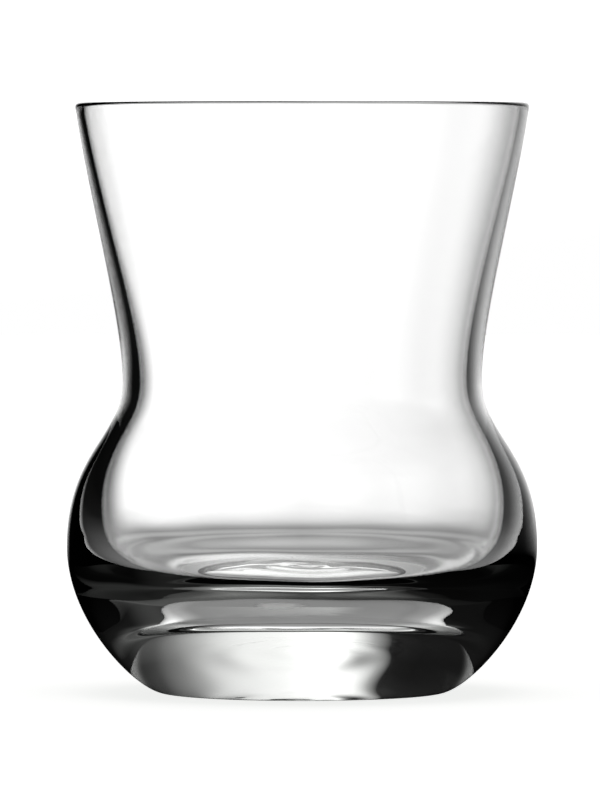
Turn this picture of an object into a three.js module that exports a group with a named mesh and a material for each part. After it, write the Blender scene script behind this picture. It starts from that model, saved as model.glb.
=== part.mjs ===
// Whisky tumbler: one body of clear blown glass, turned about the vertical axis.
// Millimetres, +Z up. The origin is the middle of the foot, on the table.
import * as THREE from 'three';

// Outside, from the table up
const totalHeight = 100;
const footRadius = 23.5;
const bulbRadius = 39.9;
const bulbHeight = 24.8;
const waistRadius = 30.5;
const waistHeight = 53.1;
const rimRadius = 38.5;
const rimLean = THREE.MathUtils.degToRad(8.7);

// Inside: walls are measured level, heights from the table
const rimWall = 1.4;
const waistWall = 2.65;
const bulbWall = 5.2;
const hollowHeight = 30;
const rampRadius = 30.5;
const rampHeight = 19.7;
const rampSlope = THREE.MathUtils.degToRad(36);
const troughRadius = 22;
const troughHeight = 14.3;
const crownRise = 1.2;

// Ground hollow under the base
const puntRadius = 19;
const puntDepth = 2;

// How far each curve keeps its starting direction before it turns
const heelPull = 4.2;
const bulbPullDown = 12.9;
const bulbPullUp = 16.5;
const waistPullDown = 9.8;
const waistPullUp = 10.6;
const rimPull = 16;
const innerWaistPullDown = 8.2;
const hollowPullUp = 10.2;
const hollowPullDown = 8;
const rampPullOut = 1;
const rampPullIn = 3;
const troughPullOut = 4;
const troughPullIn = 6;
const crownPull = 8;
const puntPullOut = 14;
const puntPullUp = 1.2;

// Facets
const turnSteps = 64;
const bulbSteps = 8;
const flareSteps = 5;
const lipSteps = 6;
const cornerSteps = 6;
const rampSteps = 5;
const crownSteps = 4;
const puntSteps = 5;

const down = new THREE.Vector2(0, -1);
const up = new THREE.Vector2(0, 1);
const outward = new THREE.Vector2(1, 0);
const inward = new THREE.Vector2(-1, 0);

// Stations of the half outline: x is the radius, y the height
const lipRadius = rimWall / 2;
const lipCentre = new THREE.Vector2(rimRadius - lipRadius, totalHeight - lipRadius);
const rimUpward = new THREE.Vector2(Math.sin(rimLean), Math.cos(rimLean));
const rimDownward = rimUpward.clone().negate();
const outerRim = onLip(-rimLean);
const innerRim = onLip(Math.PI - rimLean);
const puntTop = new THREE.Vector2(0, puntDepth);
const puntEdge = new THREE.Vector2(puntRadius, 0);
const footEdge = new THREE.Vector2(footRadius, 0);
const bulb = new THREE.Vector2(bulbRadius, bulbHeight);
const waist = new THREE.Vector2(waistRadius, waistHeight);
const innerWaist = new THREE.Vector2(waistRadius - waistWall, waistHeight);
const hollow = new THREE.Vector2(bulbRadius - bulbWall, hollowHeight);
const rampInward = new THREE.Vector2(-Math.cos(rampSlope), -Math.sin(rampSlope));
const ramp = new THREE.Vector2(rampRadius, rampHeight);
const trough = new THREE.Vector2(troughRadius, troughHeight);
const crown = new THREE.Vector2(0, troughHeight + crownRise);

// A point on the round lip, by its angle from straight out
function onLip(angle) {
  const spoke = new THREE.Vector2(Math.cos(angle), Math.sin(angle));
  return spoke.multiplyScalar(lipRadius).add(lipCentre);
}

// A smooth curve that leaves one station and reaches the next along set directions
function flow(start, leave, leavePull, end, arrive, arrivePull, steps) {
  const startHandle = leave.clone().multiplyScalar(leavePull).add(start);
  const endHandle = arrive.clone().multiplyScalar(-arrivePull).add(end);
  return new THREE.CubicBezierCurve(start, startHandle, endHandle, end).getPoints(steps);
}

function lip() {
  const points = [];
  for (let step = 0; step <= lipSteps; step += 1) {
    points.push(onLip(Math.PI * step / lipSteps - rimLean));
  }
  return points;
}

// The half outline, from the axis under the base, up the outside and down the inside to the axis
function halfOutline() {
  const stretches = [
    flow(puntTop, outward, puntPullOut, puntEdge, down, puntPullUp, puntSteps),
    flow(footEdge, outward, heelPull, bulb, up, bulbPullDown, bulbSteps),
    flow(bulb, up, bulbPullUp, waist, up, waistPullDown, bulbSteps),
    flow(waist, up, waistPullUp, outerRim, rimUpward, rimPull, flareSteps),
    lip(),
    flow(innerRim, rimDownward, rimPull, innerWaist, down, waistPullUp, flareSteps),
    flow(innerWaist, down, innerWaistPullDown, hollow, down, hollowPullUp, bulbSteps),
    flow(hollow, down, hollowPullDown, ramp, rampInward, rampPullOut, cornerSteps),
    flow(ramp, rampInward, rampPullIn, trough, inward, troughPullOut, rampSteps),
    flow(trough, inward, troughPullIn, crown, inward, crownPull, crownSteps),
  ];
  const points = [];
  for (const point of stretches.flat()) {
    const sharedStation = points.at(-1)?.equals(point);
    if (!sharedStation) {
      points.push(point);
    }
  }
  return points;
}

function tumblerGlass() {
  const geometry = new THREE.LatheGeometry(halfOutline(), turnSteps);
  geometry.rotateX(Math.PI / 2);
  const material = new THREE.MeshStandardMaterial({
    color: 0xf4f7f5,
    roughness: 0.02,
    metalness: 0,
    transparent: true,
    opacity: 0.35,
  });
  const mesh = new THREE.Mesh(geometry, material);
  mesh.name = 'tumbler_glass';
  return mesh;
}

const tumbler = new THREE.Group();
tumbler.add(tumblerGlass());

export default tumbler;
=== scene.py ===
import math

import bmesh
import bpy
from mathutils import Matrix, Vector


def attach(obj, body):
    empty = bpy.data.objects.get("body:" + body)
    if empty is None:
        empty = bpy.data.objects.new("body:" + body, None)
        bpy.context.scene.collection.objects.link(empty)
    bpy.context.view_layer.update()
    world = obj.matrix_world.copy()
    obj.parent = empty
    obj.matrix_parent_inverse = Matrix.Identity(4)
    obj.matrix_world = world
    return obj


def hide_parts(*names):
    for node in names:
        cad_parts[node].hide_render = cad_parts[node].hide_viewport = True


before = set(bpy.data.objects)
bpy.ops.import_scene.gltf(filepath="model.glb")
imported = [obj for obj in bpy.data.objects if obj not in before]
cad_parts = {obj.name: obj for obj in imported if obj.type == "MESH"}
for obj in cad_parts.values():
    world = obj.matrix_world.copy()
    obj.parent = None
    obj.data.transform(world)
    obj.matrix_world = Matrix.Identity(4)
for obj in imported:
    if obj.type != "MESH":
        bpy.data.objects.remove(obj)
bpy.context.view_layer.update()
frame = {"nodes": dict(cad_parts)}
scene = bpy.context.scene
print("frame loaded:", ", ".join(frame["nodes"]))

mm = 0.001


# sRGB hex to the linear colour that Blender works in
def linearColour(hexText):
    channels = [int(hexText[i:i + 2], 16) / 255 for i in (0, 2, 4)]
    return [c / 12.92 if c <= 0.04045 else ((c + 0.055) / 1.055) ** 2.4 for c in channels] + [1.0]


# one node with its settings (a socket or a property by name) and its links (from a socket, or a node's first)
def addNode(tree, kind, settings=None, links=None):
    node = tree.nodes.new(kind)
    for name, value in (settings or {}).items():
        if isinstance(name, int) or name in node.inputs:
            node.inputs[name].default_value = value
        else:
            setattr(node, name, value)
    for socket, source in (links or {}).items():
        tree.links.new(getattr(source, "outputs", [source])[0], node.inputs[socket])
    return node


# a fresh node tree on a material or a world
def emptyTree(holder):
    holder.use_nodes = True
    holder.node_tree.nodes.clear()
    return holder.node_tree


# the tumbler's turned outline, in mm and degrees: stations, how far each curve keeps its direction
# and the steps of the mesh along each
glass = {
    "height": 100, "footRadius": 23.5, "bulbRadius": 39.9, "bulbHeight": 24.8,
    "waistRadius": 30.5, "waistHeight": 53.1, "rimRadius": 38.5, "rimLean": 8.7,
    "rimWall": 1.4, "waistWall": 2.65, "bulbWall": 5.2, "hollowHeight": 30,
    "rampRadius": 30.5, "rampHeight": 19.7, "rampSlope": 36,
    "troughRadius": 22, "troughHeight": 14.3, "crownRise": 1.2,
    "puntRadius": 19, "puntDepth": 2, "footRound": 0.25,
    "lipPower": 2.2,  # 2 is a half round, more is flatter on top
    "heelPull": 4.2, "bulbPullDown": 12.9, "bulbPullUp": 16.5, "waistPullDown": 9.8, "waistPullUp": 10.6,
    "rimPull": 16, "innerWaistPullDown": 8.2, "hollowPullUp": 10.2, "hollowPullDown": 8,
    "rampPullOut": 1, "rampPullIn": 3, "troughPullOut": 4, "troughPullIn": 6, "crownPull": 8,
    "puntPullOut": 14, "puntPullUp": 1.2, "footPull": 1,
    "roundPull": 0.55,  # of the radius, for a quarter round
    "puntSteps": 28, "roundSteps": 4, "footSteps": 6, "heelSteps": 48, "bulbSteps": 44, "flareSteps": 36,
    "lipSteps": 24, "hollowSteps": 40, "cornerSteps": 48, "rampSteps": 32, "crownSteps": 40, "turnSteps": 256,
}


# points of a cubic curve that leaves and arrives along set directions, its first point left out
def flow(start, leave, leavePull, end, arrive, arrivePull, steps):
    start, end = Vector(start), Vector(end)
    first = start + Vector(leave) * leavePull
    second = end - Vector(arrive) * arrivePull
    points = []
    for step in range(1, steps + 1):
        t = step / steps
        u = 1 - t
        points.append(start * u ** 3 + first * (3 * u * u * t) + second * (3 * u * t * t) + end * t ** 3)
    return points


# the outside and the inside of the half outline, each a list of (radius, height)
def halfOutline(g):
    down, up, out, inn = (0, -1), (0, 1), (1, 0), (-1, 0)
    lean, slope = math.radians(g["rimLean"]), math.radians(g["rampSlope"])
    lipRadius, power = g["rimWall"] / 2, g["lipPower"]
    lipCentre = Vector((g["rimRadius"] - lipRadius, g["height"] - lipRadius))

    def onLip(angle):
        spoke = Vector((math.cos(angle), math.sin(angle)))
        reach = (abs(spoke.x) ** power + abs(spoke.y) ** power) ** (-1 / power)
        return lipCentre + spoke * lipRadius * reach

    rimUp = Vector((math.sin(lean), math.cos(lean)))
    inDown = Vector((-math.cos(slope), -math.sin(slope)))
    bulb = (g["bulbRadius"], g["bulbHeight"])
    waist = (g["waistRadius"], g["waistHeight"])
    innerWaist = (g["waistRadius"] - g["waistWall"], g["waistHeight"])
    hollow = (g["bulbRadius"] - g["bulbWall"], g["hollowHeight"])
    ramp = (g["rampRadius"], g["rampHeight"])
    trough = (g["troughRadius"], g["troughHeight"])
    crown = (0, g["troughHeight"] + g["crownRise"])
    puntTop = (0, g["puntDepth"])
    puntEdge = (g["puntRadius"], g["footRound"])
    footInner = (g["puntRadius"] + g["footRound"], 0)
    footOuter = (g["footRadius"], 0)
    roundPull = g["footRound"] * g["roundPull"]

    outside = [Vector(puntTop)]
    outside += flow(puntTop, out, g["puntPullOut"], puntEdge, down, g["puntPullUp"], g["puntSteps"])
    outside += flow(puntEdge, down, roundPull, footInner, out, roundPull, g["roundSteps"])
    outside += flow(footInner, out, g["footPull"], footOuter, out, g["footPull"], g["footSteps"])
    outside += flow(footOuter, out, g["heelPull"], bulb, up, g["bulbPullDown"], g["heelSteps"])
    outside += flow(bulb, up, g["bulbPullUp"], waist, up, g["waistPullDown"], g["bulbSteps"])
    outside += flow(waist, up, g["waistPullUp"], onLip(-lean), rimUp, g["rimPull"], g["flareSteps"])
    outside += [onLip(math.pi * step / g["lipSteps"] - lean) for step in range(1, g["lipSteps"] + 1)]
    innerRim = outside[-1]
    inside = flow(innerRim, -rimUp, g["rimPull"], innerWaist, down, g["waistPullUp"], g["flareSteps"])
    inside += flow(innerWaist, down, g["innerWaistPullDown"], hollow, down, g["hollowPullUp"],
                   g["hollowSteps"])
    inside += flow(hollow, down, g["hollowPullDown"], ramp, inDown, g["rampPullOut"], g["cornerSteps"])
    inside += flow(ramp, inDown, g["rampPullIn"], trough, inn, g["troughPullOut"], g["rampSteps"])
    inside += flow(trough, inn, g["troughPullIn"], crown, inn, g["crownPull"], g["crownSteps"])
    return outside, inside


# what blowing leaves on the inside, in mm: slow waves (turns, depth, start, twist to each mm of height),
# closer rucks round the shoulder above the floor and a gathered swirl on the floor
blown = {
    "waves": [(2, 0.06, 0.6, 0.03), (3, 0.045, 2.1, -0.045), (5, 0.02, 4.0, 0.1)],
    "waveFrom": 12, "plainHeight": 90, "plainPower": 4,
    "rucks": [(5, 0.05, 1.1, 0.12), (8, 0.035, 3.0, -0.2), (13, 0.015, 0.4, 0.3)],
    "ruckLow": 13, "ruckHigh": 27,
    "swirlDepth": 0.09, "swirlReach": 17, "swirlPitch": 6,
}


def ripple(waves, angle, height):
    return sum(depth * math.cos(turns * angle + start + twist * height)
               for turns, depth, start, twist in waves)


# how far the inside stands off the turned shape at one place
def unevenness(b, point, angle):
    radius, height = point
    fade = min(1, radius / b["waveFrom"]) * max(0, 1 - (height / b["plainHeight"]) ** b["plainPower"])
    middle = (b["ruckLow"] + b["ruckHigh"]) / 2
    band = max(0, 1 - ((height - middle) / (b["ruckHigh"] - middle)) ** 2) ** 2
    uneven = ripple(b["waves"], angle, height) + band * ripple(b["rucks"], angle, height)
    # the swirl is deepest at a third of its reach
    share = min(1, radius / b["swirlReach"])
    bump = share * (1 - share) ** 2 / (1 / 3 * (2 / 3) ** 2)
    swirl = b["swirlDepth"] * bump * math.cos(angle - 2 * math.pi * radius / b["swirlPitch"])
    return uneven * fade + swirl


# turns the outline about the upright axis into one closed body
def turnedGlass(name, g, b):
    outside, inside = halfOutline(g)
    outline = outside + inside
    steps = g["turnSteps"]
    onAxis = 1e-6
    body = bmesh.new()
    rings = []
    for place, point in enumerate(outline):
        if point.x < onAxis:
            rings.append([body.verts.new((0, 0, point.y * mm))])
            continue
        along = outline[place + 1] - outline[place - 1]
        across = Vector((along.y, -along.x)).normalized()
        ring = []
        for step in range(steps):
            angle = 2 * math.pi * step / steps
            radius, height = point
            if place >= len(outside):
                radius, height = point + across * unevenness(b, point, angle)
            ring.append(body.verts.new((
                radius * mm * math.cos(angle), radius * mm * math.sin(angle), height * mm)))
        rings.append(ring)
    for low, high in zip(rings, rings[1:]):
        for step in range(steps):
            after = (step + 1) % steps
            if len(low) == 1:
                corners = (low[0], high[after], high[step])
            elif len(high) == 1:
                corners = (low[step], low[after], high[0])
            else:
                corners = (low[step], low[after], high[after], high[step])
            body.faces.new(corners).smooth = True
    bmesh.ops.recalc_face_normals(body, faces=body.faces)
    mesh = bpy.data.meshes.new(name)
    body.to_mesh(mesh)
    body.free()
    piece = bpy.data.objects.new(name, mesh)
    scene.collection.objects.link(piece)
    return piece


tumbler = turnedGlass("tumbler_clear", glass, blown)
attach(tumbler, "root")
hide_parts("tumbler_glass")
print("tumbler turned:", len(tumbler.data.polygons), "faces")

# soda-lime glass, blown and fire-polished: sharp clear refraction, with a breath of green in the thick base.
# Its foot is ground level, which leaves it faintly frosted up to footHeight, in mm
glassLook = {
    "colour": "ffffff", "ior": 1.52, "footRoughness": 0.35, "footHeight": 0.3,
    "tint": "f4f8f2", "tintPerMetre": 6.0,
    "shade": "dcdfdc",
}


def sodaLimeGlass(look):
    material = bpy.data.materials.new("soda-lime glass blown and fire-polished")
    tree = emptyTree(material)
    coords = addNode(tree, "ShaderNodeTexCoord")
    axes = addNode(tree, "ShaderNodeSeparateXYZ", links={0: coords.outputs["Object"]})
    ground = addNode(tree, "ShaderNodeMapRange", {
        "From Min": 0, "From Max": look["footHeight"] * mm, "To Min": look["footRoughness"], "To Max": 0},
        {"Value": axes.outputs["Z"]})
    surface = addNode(tree, "ShaderNodeBsdfPrincipled", {
        "Base Color": linearColour(look["colour"]), "IOR": look["ior"], "Transmission Weight": 1.0},
        {"Roughness": ground})
    # lamps shine through, so the tumbler throws the light shadow of glass
    clear = addNode(tree, "ShaderNodeBsdfTransparent", {"Color": linearColour(look["shade"])})
    path = addNode(tree, "ShaderNodeLightPath")
    shown = addNode(tree, "ShaderNodeMixShader", links={
        0: path.outputs["Is Shadow Ray"], 1: surface, 2: clear})
    inside = addNode(tree, "ShaderNodeVolumeAbsorption", {
        "Color": linearColour(look["tint"]), "Density": look["tintPerMetre"]})
    addNode(tree, "ShaderNodeOutputMaterial", links={"Surface": shown, "Volume": inside})
    return material


tumbler.data.materials.append(sodaLimeGlass(glassLook))
print("glass made")

# the camera stands where the photograph was taken from: a long lens, its eye a little below the rim
view = {
    "turn": -67.5, "distance": 1.41, "eye": 0.089, "aim": 0.0496,
    "lens": 374.3, "sensor": 36, "shiftX": -0.0025,
}
turn = math.radians(view["turn"])
lens = bpy.data.cameras.new("camera")
lens.lens = view["lens"]
lens.sensor_width = view["sensor"]
lens.shift_x = view["shiftX"]
camera = bpy.data.objects.new("camera", lens)
scene.collection.objects.link(camera)
camera.location = (math.sin(turn) * view["distance"], -math.cos(turn) * view["distance"], view["eye"])
sight = Vector((0, 0, view["aim"])) - camera.location
camera.rotation_euler = sight.to_track_quat("-Z", "Y").to_euler()
scene.camera = camera

# light tent round the tumbler: brightness by angle, in degrees to the right of the line of sight (Across)
# or up from level (Upward)
tent = {
    # a white panel behind the glass, brightest on the left and falling to grey on the right
    "panel": 1.5,
    "panelAcross": [(-7, 1), (-3, 0.9), (1, 0.77), (5, 0.69), (10, 0.66), (14, 0.6), (18, 0.48), (22, 0.33),
                    (26, 0.24), (30, 0.15), (36, 0.06), (40, 0.03), (48, 0.02), (55, 0.04), (66, 0.02),
                    (75, 0)],
    "panelUpward": [(-60, 0.02), (-45, 0.06), (-35, 0.3), (-28, 0.8), (-24, 1), (20, 1), (27, 0.1),
                    (40, 0.02), (90, 0)],
    # its foot, as light that goes straight through the bowl finds it, and the shade under the heel
    "footUpward": [(-32, 0.25), (-29, 0.38), (-27, 0.36), (-24, 0.19), (-21.5, 0.3), (-19, 0.52), (-17, 0.71),
                   (-14, 0.91), (-10, 1)],
    "heelUpward": [(-4, 0), (0, 1)],
    # black card on the left, that many degrees nearer for light that the glass mirrors
    "cardAcross": [(-24, 0), (-20, 0.25), (-16, 0.7), (-13, 1)],
    "cardNearer": 5,
    # a weak fill from the right, a soft top and the pale table
    "fillAcross": [(-180, 0.08), (-120, 0.005), (0, 0.005), (20, 0.06), (120, 0.12), (180, 0.08)],
    "fillUpward": [(5, 0), (20, 1), (60, 1), (90, 0.7)],
    "topAndTable": [(-90, 0.25), (-50, 0.27), (-30, 0.14), (-15, 0.01), (-8, 0.004), (40, 0.004), (65, 0.19),
                    (90, 0.21)],
    "gleam": 0.2,
    # the table as light straight through the floor finds it: shaded on the left, near and lit on the right
    "shadeAcross": [(-40, 1), (-28, 0.4), (-8, 0.4), (-1, 0.8), (2, 1)],
    "nearAcross": [(-2, 0), (3, 0.5), (8, 1), (25, 1), (40, 0)],
    "nearUpward": [(-60, 0.3), (-48, 0.5), (-36, 0.45), (-33, 0)],
    # the other sides: white for light that goes straight through, white stripes for light mirrored once
    "sidesAcross": [(-60, 1), (-52, 0), (52, 0), (60, 1)],
    "sidesUpward": [(-90, 0.5), (-35, 0.6), (-20, 0.68), (-10, 0.82), (0, 1), (20, 1), (27, 0.1), (40, 0.02)],
    "stripesAcross": [(-180, 0), (-157.5, 1), (-135, 0), (-112.5, 1), (-90, 0), (-67.5, 1), (-52, 0),
                      (-45, 0), (45, 0),
                      (52, 0), (67.5, 1), (90, 0), (112.5, 1), (135, 0), (157.5, 1), (180, 0)],
    # what is left of light mirrored more often than this, and the even light on the table
    "deepest": 3.5, "deepShare": 0.25,
    "onTable": 0.05,
}


def lightTent(t):
    world = bpy.data.worlds.new("light tent")
    tree = emptyTree(world)
    maths = "ShaderNodeMath"
    times, plus, most = ({"operation": name} for name in ("MULTIPLY", "ADD", "MAXIMUM"))
    isAny = {"operation": "GREATER_THAN", 1: 0.5}
    coords = addNode(tree, "ShaderNodeTexCoord")
    turned = addNode(tree, "ShaderNodeVectorRotate", {"rotation_type": "Z_AXIS", "Angle": -turn},
                     {"Vector": coords.outputs["Generated"]})
    axes = addNode(tree, "ShaderNodeSeparateXYZ", links={0: turned})
    aside = addNode(tree, maths, {"operation": "ARCTAN2"}, {0: axes.outputs["X"], 1: axes.outputs["Y"]})
    rise = addNode(tree, maths, {"operation": "ARCSINE"}, {0: axes.outputs["Z"]})
    path = addNode(tree, "ShaderNodeLightPath")
    mirrored = addNode(tree, maths, isAny, {0: path.outputs["Glossy Depth"]})
    straight = addNode(tree, maths, {"operation": "LESS_THAN", 1: 0.5}, {0: path.outputs["Glossy Depth"]})
    through = addNode(tree, maths, isAny, {0: path.outputs["Transmission Depth"]})
    # the black card stands close to the glass, so what the walls mirror meets it sooner
    nearer = addNode(tree, maths, {"operation": "MULTIPLY_ADD", 1: -math.radians(t["cardNearer"])},
                     {0: mirrored, 2: aside})
    angles = {"Across": (aside, 180), "Upward": (rise, 90), "Card": (nearer, 180)}

    # brightness along one of the angles, by its stops
    def along(stops, way, shape="LINEAR"):
        source, reach = angles[way]
        limit = math.radians(reach)
        share = addNode(tree, "ShaderNodeMapRange", {"From Min": -limit, "From Max": limit},
                        {"Value": source})
        ramp = addNode(tree, "ShaderNodeValToRGB", links={0: share})
        ramp.color_ramp.interpolation = shape
        marks = ramp.color_ramp.elements
        marks.remove(marks[1])
        for angle, level in stops:
            place = (angle + reach) / (2 * reach)
            mark = marks[0] if angle == stops[0][0] else marks.new(place)
            mark.position = place
            mark.color = (level, level, level, 1)
        return ramp

    height = along(t["panelUpward"], "Upward")
    panel = addNode(tree, maths, {"operation": "MULTIPLY", 1: t["panel"]}, {0: height})
    carded = addNode(tree, maths, times, {0: panel, 1: along(t["cardAcross"], "Card")})
    behind = addNode(tree, maths, times, {0: carded, 1: along(t["panelAcross"], "Across", "B_SPLINE")})
    # straight through the bowl, the panel darkens toward its foot
    foot = addNode(tree, maths, most, {0: mirrored, 1: along(t["footUpward"], "Upward")})
    seenFoot = addNode(tree, maths, times, {0: behind, 1: foot})
    # the heel mirrors the table close under it, which lies in its shade
    heel = addNode(tree, maths, most, {0: through, 1: along(t["heelUpward"], "Upward")})
    back = addNode(tree, maths, times, {0: seenFoot, 1: heel})

    fill = addNode(tree, maths, times, {
        0: along(t["fillAcross"], "Across"), 1: along(t["fillUpward"], "Upward")})
    around = addNode(tree, maths, plus, {0: fill, 1: along(t["topAndTable"], "Upward")})
    # the room in front is dark, so the outside of the glass gleams only faintly
    share = addNode(tree, "ShaderNodeMapRange", {"To Min": t["gleam"], "To Max": 1}, {"Value": through})
    gleaming = addNode(tree, maths, times, {0: around, 1: share})
    # straight through the floor, the table is in the card's shade on the left and lit on the right
    shade = addNode(tree, maths, most, {0: mirrored, 1: along(t["shadeAcross"], "Across")})
    shaded = addNode(tree, maths, times, {0: gleaming, 1: shade})
    near = addNode(tree, maths, times, {
        0: along(t["nearAcross"], "Across"), 1: along(t["nearUpward"], "Upward")})
    seenNear = addNode(tree, maths, times, {0: near, 1: straight})
    rest = addNode(tree, maths, plus, {0: shaded, 1: seenNear})
    front = addNode(tree, maths, plus, {0: back, 1: rest})

    once = addNode(tree, maths, {"operation": "COMPARE", 1: 1, 2: 0.5}, {0: path.outputs["Glossy Depth"]})
    sides = addNode(tree, maths, times, {
        0: along(t["sidesAcross"], "Across"), 1: along(t["sidesUpward"], "Upward")})
    stripes = addNode(tree, maths, times, {0: height, 1: along(t["stripesAcross"], "Across", "B_SPLINE")})
    seenSides = addNode(tree, maths, times, {0: sides, 1: straight})
    seenStripes = addNode(tree, maths, times, {0: stripes, 1: once})
    seen = addNode(tree, maths, plus, {0: seenSides, 1: seenStripes})
    bright = addNode(tree, maths, {"operation": "MULTIPLY", 1: t["panel"]}, {0: through})
    others = addNode(tree, maths, times, {0: seen, 1: bright})
    lit = addNode(tree, maths, plus, {0: front, 1: others})

    # light that the base has thrown about many times is nearly spent
    spent = addNode(tree, maths, {"operation": "GREATER_THAN", 1: t["deepest"]},
                    {0: path.outputs["Glossy Depth"]})
    left = addNode(tree, "ShaderNodeMapRange", {"To Min": 1, "To Max": t["deepShare"]}, {"Value": spent})
    kept = addNode(tree, maths, times, {0: lit, 1: left})
    shown = addNode(tree, maths, most, {0: kept, 1: path.outputs["Is Camera Ray"]})
    # the table takes an even light, also through the glass, so that the lamp's shadow stays
    scattered = addNode(tree, maths, isAny, {0: path.outputs["Diffuse Depth"]})
    level = addNode(tree, "ShaderNodeMapRange", {"To Max": t["onTable"]},
                    {"Value": scattered, "To Min": shown})
    light = addNode(tree, "ShaderNodeBackground", links={"Color": level})
    addNode(tree, "ShaderNodeOutputWorld", links={"Surface": light})
    return world


scene.world = lightTent(tent)

# white table: one wide round sheet, in metres, a little under the foot (below, in mm). It shows white, keeps
# the tumbler's soft shadow and runs into the white behind it between the two distances of plain
table = {"radius": 3.0, "below": 0.05, "colour": "f4f4f2", "glow": 0.72, "plain": (0.2, 0.6), "steps": 96}


def whiteTable(t):
    sheet = bmesh.new()
    angles = [2 * math.pi * step / t["steps"] for step in range(t["steps"])]
    sheet.faces.new([
        sheet.verts.new((t["radius"] * math.cos(angle), t["radius"] * math.sin(angle), -t["below"] * mm))
        for angle in angles])
    mesh = bpy.data.meshes.new("table")
    sheet.to_mesh(mesh)
    sheet.free()
    floor = bpy.data.objects.new("table", mesh)
    scene.collection.objects.link(floor)
    # matt white laminate: an even white with no gleam
    material = bpy.data.materials.new("white laminate matt")
    tree = emptyTree(material)
    matt = addNode(tree, "ShaderNodeBsdfDiffuse", {"Color": linearColour(t["colour"])})
    coords = addNode(tree, "ShaderNodeTexCoord")
    away = addNode(tree, "ShaderNodeVectorMath", {"operation": "LENGTH"}, {0: coords.outputs["Object"]})
    near, far = t["plain"]
    white = addNode(tree, "ShaderNodeMapRange", {
        "From Min": near, "From Max": far, "To Min": t["glow"], "To Max": 1.0},
        {"Value": away.outputs["Value"]})
    path = addNode(tree, "ShaderNodeLightPath")
    level = addNode(tree, "ShaderNodeMath", {"operation": "MULTIPLY"},
                    {0: path.outputs["Is Camera Ray"], 1: white})
    glow = addNode(tree, "ShaderNodeEmission", links={"Strength": level})
    both = addNode(tree, "ShaderNodeAddShader", links={0: matt, 1: glow})
    addNode(tree, "ShaderNodeOutputMaterial", links={"Surface": both})
    mesh.materials.append(material)
    # the glass shows the tent's own pale table instead
    floor.visible_transmission = False
    floor.visible_glossy = False
    return floor


whiteTable(table)

# one large soft lamp overhead; only the table takes its light
lamp = {"power": 9, "size": 1.2, "height": 1.6}
softbox = bpy.data.lights.new("softbox", "AREA")
softbox.energy = lamp["power"]
softbox.size = lamp["size"]
overhead = bpy.data.objects.new("softbox", softbox)
overhead.location = (0, 0, lamp["height"])
overhead.visible_glossy = False
overhead.visible_transmission = False
scene.collection.objects.link(overhead)

scene.view_settings.view_transform = "Standard"
print("tent, table, lamp and camera set")
